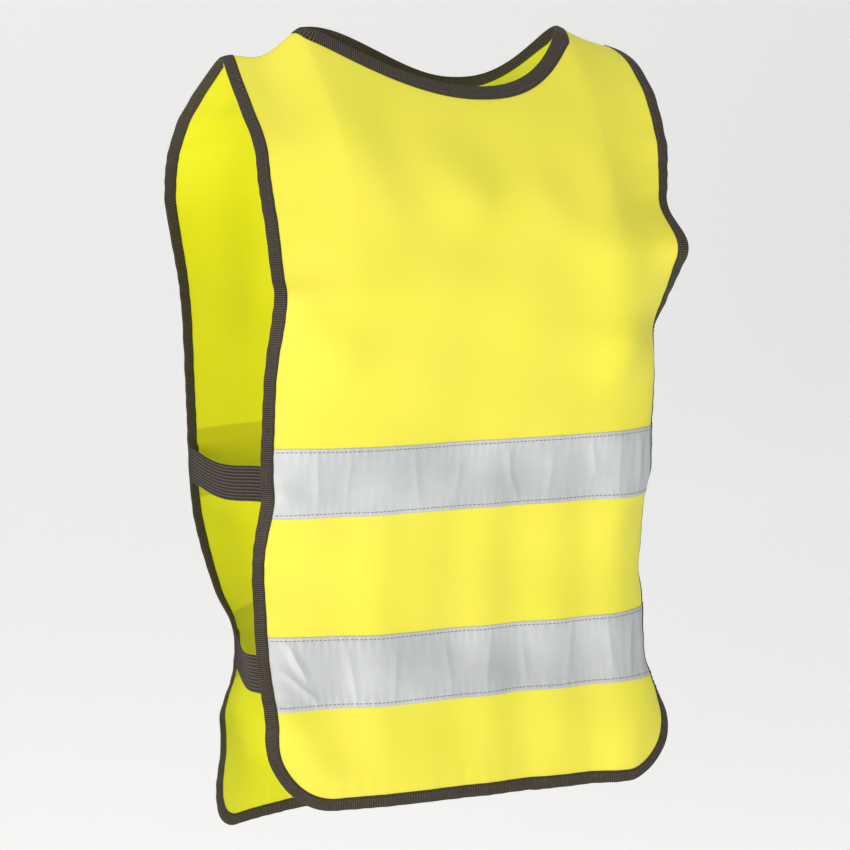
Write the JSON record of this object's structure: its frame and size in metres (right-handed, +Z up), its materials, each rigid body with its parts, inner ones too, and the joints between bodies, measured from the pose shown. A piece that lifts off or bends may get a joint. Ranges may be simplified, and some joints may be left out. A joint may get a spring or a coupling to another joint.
{
  "type": "high visibility vest",
  "caption": "Pull-over high visibility tabard with open sides, bound edges, two reflective tapes on front and back, and elastic straps joining the sides",
  "frame": {"origin": "midway between the two points where the shoulder seams meet the neck opening, where the vest rests on the wearer", "axes": "+Z up as worn, front of the vest faces -Y, wearer's left at +X"},
  "size_m": [0.3149, 0.2118, 0.5717],
  "materials": {
    "knit": "fluorescent yellow polyester knit",
    "binding": "dark ribbed polyester tape",
    "reflective_tape": "silver retroreflective coating on cloth",
    "elastic": "dark ribbed woven elastic",
    "thread": "polyester sewing thread"
  },
  "bodies": {
    "back": {"back_edge_binding": "binding", "back_edge_stitching": "thread", "back_lower_reflective_tape": "reflective_tape", "back_lower_tape_stitching": "thread", "back_neck_binding": "binding", "back_neck_stitching": "thread", "back_panel": "knit", "back_strap_bartacks": "thread", "back_upper_reflective_tape": "reflective_tape", "back_upper_tape_stitching": "thread", "left_lower_elastic_strap": "elastic", "left_shoulder_seam": "knit", "left_upper_elastic_strap": "elastic", "right_lower_elastic_strap": "elastic", "right_shoulder_seam": "knit", "right_upper_elastic_strap": "elastic"},
    "front": {"front_edge_binding": "binding", "front_edge_stitching": "thread", "front_lower_reflective_tape": "reflective_tape", "front_lower_tape_stitching": "thread", "front_neck_binding": "binding", "front_neck_stitching": "thread", "front_panel": "knit", "front_strap_bartacks": "thread", "front_upper_reflective_tape": "reflective_tape", "front_upper_tape_stitching": "thread"}
  },
  "joints": [
    {"name": "front_swing", "type": "hinge", "parent": "back", "child": "front", "pos_m": [0, 0, -0.009], "axis": [-1, 0, 0], "range_deg": [-5, 10], "stiffness_Nm_per_rad": 15, "deforming": ["left_lower_elastic_strap", "left_shoulder_seam", "left_upper_elastic_strap", "right_lower_elastic_strap", "right_shoulder_seam", "right_upper_elastic_strap"]}
  ]
}
